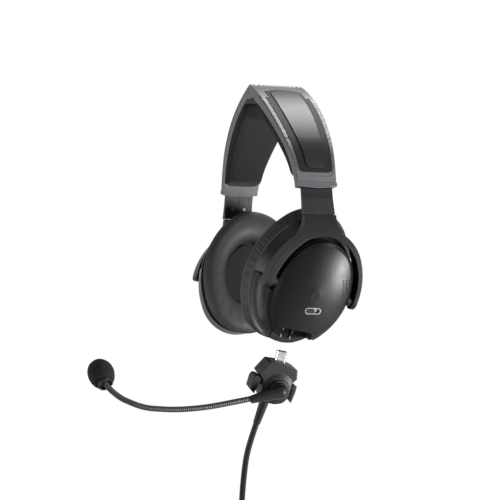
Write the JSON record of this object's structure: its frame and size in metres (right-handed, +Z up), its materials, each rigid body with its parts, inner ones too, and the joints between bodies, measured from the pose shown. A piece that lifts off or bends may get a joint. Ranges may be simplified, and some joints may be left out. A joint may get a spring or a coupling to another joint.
{
  "type": "aviation headset",
  "caption": "Over-ear aviation headset with a split sprung headband, curved sliders, swivelling fork-hung cups and a plug-in boom microphone module.",
  "frame": {"origin": "the point midway between the wearer's ears, where the centre lines of the two ear cups meet the middle plane", "axes": "+Z up to the crown, -Y the way the wearer faces, +X towards the wearer's left ear"},
  "size_m": [0.1948, 0.2079, 0.512],
  "materials": {
    "band_satin": "satin metallic grey enamel",
    "panel_black": "dark satin plastic with a fine grain",
    "pad_knit": "black knitted fabric over foam",
    "hinge_steel": "ground steel",
    "slider_black": "satin black moulding",
    "cover_gloss": "polished black",
    "fork_black": "satin black moulding",
    "housing_gloss": "semi-gloss black shell",
    "cup_satin": "satin black domed cover",
    "flange_grey": "dark grey plate",
    "cushion_leather": "soft black synthetic leather",
    "scrim_mesh": "black acoustic cloth",
    "inner_plastic": "moulded plastic",
    "board_green": "coated circuit board",
    "switch_silver": "silver painted plastic",
    "contact_gold": "plated spring contacts",
    "module_black": "satin black moulding",
    "plug_steel": "plated plug shell",
    "boom_black": "sleeved gooseneck",
    "mic_foam": "open-cell foam",
    "cord_black": "round jacketed cable",
    "plug_body": "moulded connector body",
    "tie_black": "woven hook-and-loop tie"
  },
  "bodies": {
    "left_arm": {"left_headband_frame": "band_satin", "left_headband_panel": "panel_black", "left_headband_pad": "pad_knit", "crown_hinge_pin": "hinge_steel"},
    "right_arm": {"right_headband_frame": "band_satin", "right_headband_panel": "panel_black", "right_headband_pad": "pad_knit", "crown_hinge_spring": "hinge_steel"},
    "left_slider": {"left_slider": "slider_black", "left_slider_cover": "cover_gloss", "left_slider_screws": "hinge_steel"},
    "right_slider": {"right_slider": "slider_black", "right_slider_cover": "cover_gloss", "right_slider_screws": "hinge_steel"},
    "left_fork": {"left_fork": "fork_black", "left_pivot_pins": "hinge_steel", "left_swivel_pin": "hinge_steel"},
    "right_fork": {"right_fork": "fork_black", "right_pivot_pins": "hinge_steel", "right_swivel_pin": "hinge_steel"},
    "left_cup": {"left_cup_housing": "housing_gloss", "left_cup_cover": "cup_satin", "left_cushion_flange": "flange_grey", "left_ear_cushion": "cushion_leather", "left_ear_scrim": "scrim_mesh", "left_speaker_baffle": "inner_plastic", "left_speaker": "hinge_steel", "left_circuit_board": "board_green", "mode_switch_bezel": "switch_silver", "socket_block": "inner_plastic", "socket_contacts": "contact_gold"},
    "right_cup": {"right_cup_housing": "housing_gloss", "right_cup_cover": "cup_satin", "right_cushion_flange": "flange_grey", "right_ear_cushion": "cushion_leather", "right_ear_scrim": "scrim_mesh", "right_speaker_baffle": "inner_plastic", "right_speaker": "hinge_steel", "right_circuit_board": "board_green", "right_socket_cap": "housing_gloss"},
    "mode_switch": {"mode_switch_knob": "module_black"},
    "mic_module": {"module_front_shell": "module_black", "module_rear_shell": "module_black", "latch_pins": "hinge_steel", "plug_shell": "plug_steel", "plug_tongue": "inner_plastic", "cord_strain_relief": "cord_black", "cord_lead": "cord_black", "cord_coil": "cord_black", "cord_tail": "cord_black", "cord_tie": "tie_black", "panel_plug_shell": "plug_body", "panel_plug_pins": "contact_gold"},
    "front_latch": {"front_latch": "module_black"},
    "rear_latch": {"rear_latch": "module_black"},
    "mic_boom": {"boom_elbow": "module_black", "boom_tube": "boom_black", "mic_capsule": "inner_plastic", "mic_windscreen": "mic_foam", "mic_ring": "module_black"}
  },
  "joints": [
    {"name": "crown_hinge", "type": "hinge", "parent": "left_arm", "child": "right_arm", "pos_m": [0, 0, 0.1524], "axis": [0, 1, 0], "range_deg": [0, 35], "stiffness_Nm_per_rad": 0.3, "springref_deg": -20.05},
    {"name": "left_slide", "type": "hinge", "parent": "left_arm", "child": "left_slider", "pos_m": [-0.01156, 0, 0.04728], "axis": [0, 1, 0], "range_deg": [-4, 8]},
    {"name": "right_slide", "type": "hinge", "parent": "right_arm", "child": "right_slider", "pos_m": [0.01156, 0, 0.04728], "axis": [0, -1, 0], "range_deg": [-4, 8]},
    {"name": "left_swivel", "type": "hinge", "parent": "left_slider", "child": "left_fork", "pos_m": [0.089, 0, 0.0522], "axis": [-0.0492, 0, 0.9988], "range_deg": [-15, 90]},
    {"name": "right_swivel", "type": "hinge", "parent": "right_slider", "child": "right_fork", "pos_m": [-0.089, 0, 0.0522], "axis": [-0.0492, 0, -0.9988], "range_deg": [-15, 90]},
    {"name": "left_tilt", "type": "hinge", "parent": "left_fork", "child": "left_cup", "pos_m": [0.08202, -0.00274, -0.00304], "axis": [-0.0122, 0.9696, -0.2446], "range_deg": [-12, 6]},
    {"name": "right_tilt", "type": "hinge", "parent": "right_fork", "child": "right_cup", "pos_m": [-0.08202, -0.00274, -0.00304], "axis": [-0.0122, -0.9696, 0.2446], "range_deg": [-12, 6]},
    {"name": "mode_switch_slide", "type": "slide", "parent": "left_cup", "child": "mode_switch", "axis": [0.0549, 0.9984, -0.0156], "range_m": [0, 0.0038]},
    {"name": "module_plug", "type": "slide", "parent": "left_cup", "child": "mic_module", "axis": [0.2151, 0.1819, 0.9595], "range_m": [0, 0.027]},
    {"name": "front_latch_squeeze", "type": "hinge", "parent": "mic_module", "child": "front_latch", "pos_m": [0.0576, -0.03265, -0.0695], "axis": [0.9764, -0.058, -0.2079], "range_deg": [0, 8], "stiffness_Nm_per_rad": 0.05, "springref_deg": -6.88},
    {"name": "rear_latch_squeeze", "type": "hinge", "parent": "mic_module", "child": "rear_latch", "pos_m": [0.05783, -0.01051, -0.07459], "axis": [-0.9764, 0.058, 0.2079], "range_deg": [0, 8], "stiffness_Nm_per_rad": 0.05, "springref_deg": -6.88},
    {"name": "boom_swivel", "type": "hinge", "parent": "mic_module", "child": "mic_boom", "pos_m": [0.06453, -0.02066, -0.07636], "axis": [0.9764, -0.058, -0.2079], "range_deg": [-60, 90]}
  ]
}
